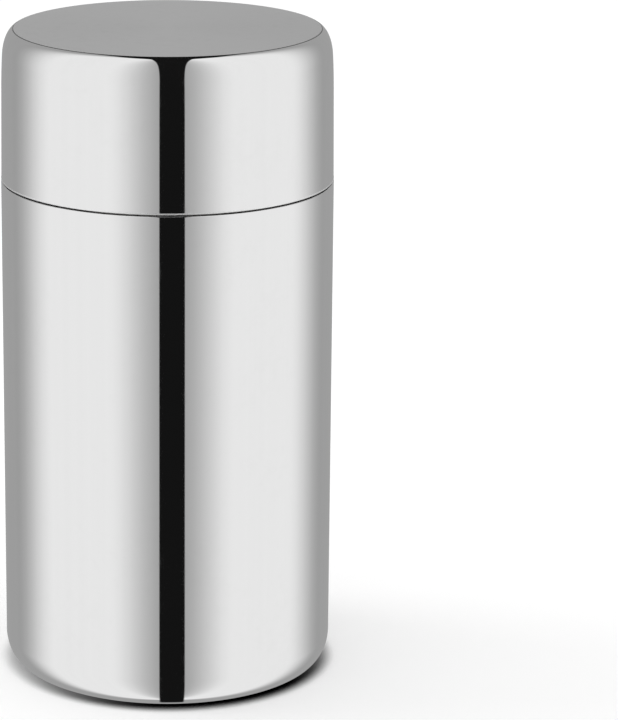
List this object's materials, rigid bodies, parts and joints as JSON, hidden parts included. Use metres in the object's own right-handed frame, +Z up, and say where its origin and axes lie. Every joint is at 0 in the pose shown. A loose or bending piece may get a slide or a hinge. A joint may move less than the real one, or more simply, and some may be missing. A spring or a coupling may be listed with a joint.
{
  "type": "vacuum seal canister",
  "caption": "Mirror-polished metal storage canister with a deep flush slip lid over a sealed plug lid with a bail and a sprung vacuum release valve.",
  "frame": {"origin": "centre of the annular face the canister stands on", "axes": "+Z up along the canister's axis, +Y from the valve knob towards the bail's cross wire as it lies folded, +X along the bail's pins"},
  "size_m": [0.096, 0.096, 0.1896],
  "materials": {
    "polished_steel": "mirror-polished stainless steel",
    "satin_steel": "satin stainless steel, as drawn",
    "turned_steel": "turned and lightly polished stainless steel",
    "seal_silicone": "pale grey silicone rubber",
    "moulded_plastic": "moulded charcoal polypropylene"
  },
  "bodies": {
    "canister": {"outer_shell": "polished_steel", "inner_liner": "satin_steel", "collar_band": "seal_silicone"},
    "outer_lid": {"lid_shell": "polished_steel", "lid_inner_cup": "satin_steel"},
    "inner_lid": {"inner_lid_pan": "satin_steel", "pan_gasket": "seal_silicone", "plug_ring": "moulded_plastic", "lip_seal": "seal_silicone", "bail_bracket_right": "moulded_plastic", "bail_bracket_left": "moulded_plastic", "bracket_screws": "turned_steel", "valve_seat": "moulded_plastic", "seat_gasket": "seal_silicone", "seat_nut": "turned_steel", "valve_guard": "moulded_plastic", "filter_screen": "turned_steel", "valve_spring": "turned_steel"},
    "bail": {"bail_handle": "turned_steel"},
    "valve": {"valve_disc": "seal_silicone", "valve_stem": "turned_steel", "valve_knob": "turned_steel", "spring_washer": "turned_steel", "stem_clip": "turned_steel"}
  },
  "joints": [
    {"name": "outer_lid_lift", "type": "slide", "parent": "canister", "child": "outer_lid", "axis": [0, 0, 1], "range_m": [0, 0.11]},
    {"name": "inner_lid_lift", "type": "slide", "parent": "canister", "child": "inner_lid", "axis": [0, 0, 1], "range_m": [0, 0.05]},
    {"name": "bail_swing", "type": "hinge", "parent": "inner_lid", "child": "bail", "pos_m": [0, 0, 0.16185], "axis": [1, 0, 0], "range_deg": [0, 180]},
    {"name": "valve_pull", "type": "slide", "parent": "inner_lid", "child": "valve", "axis": [0, 0, 1], "range_m": [0, 0.003], "stiffness_N_per_m": 250, "springref_m": -0.002, "deforming": ["valve_spring"]}
  ],
  "couplings": [
    {"joint": "inner_lid_lift", "follows": "outer_lid_lift", "ratio": 0.45}
  ]
}
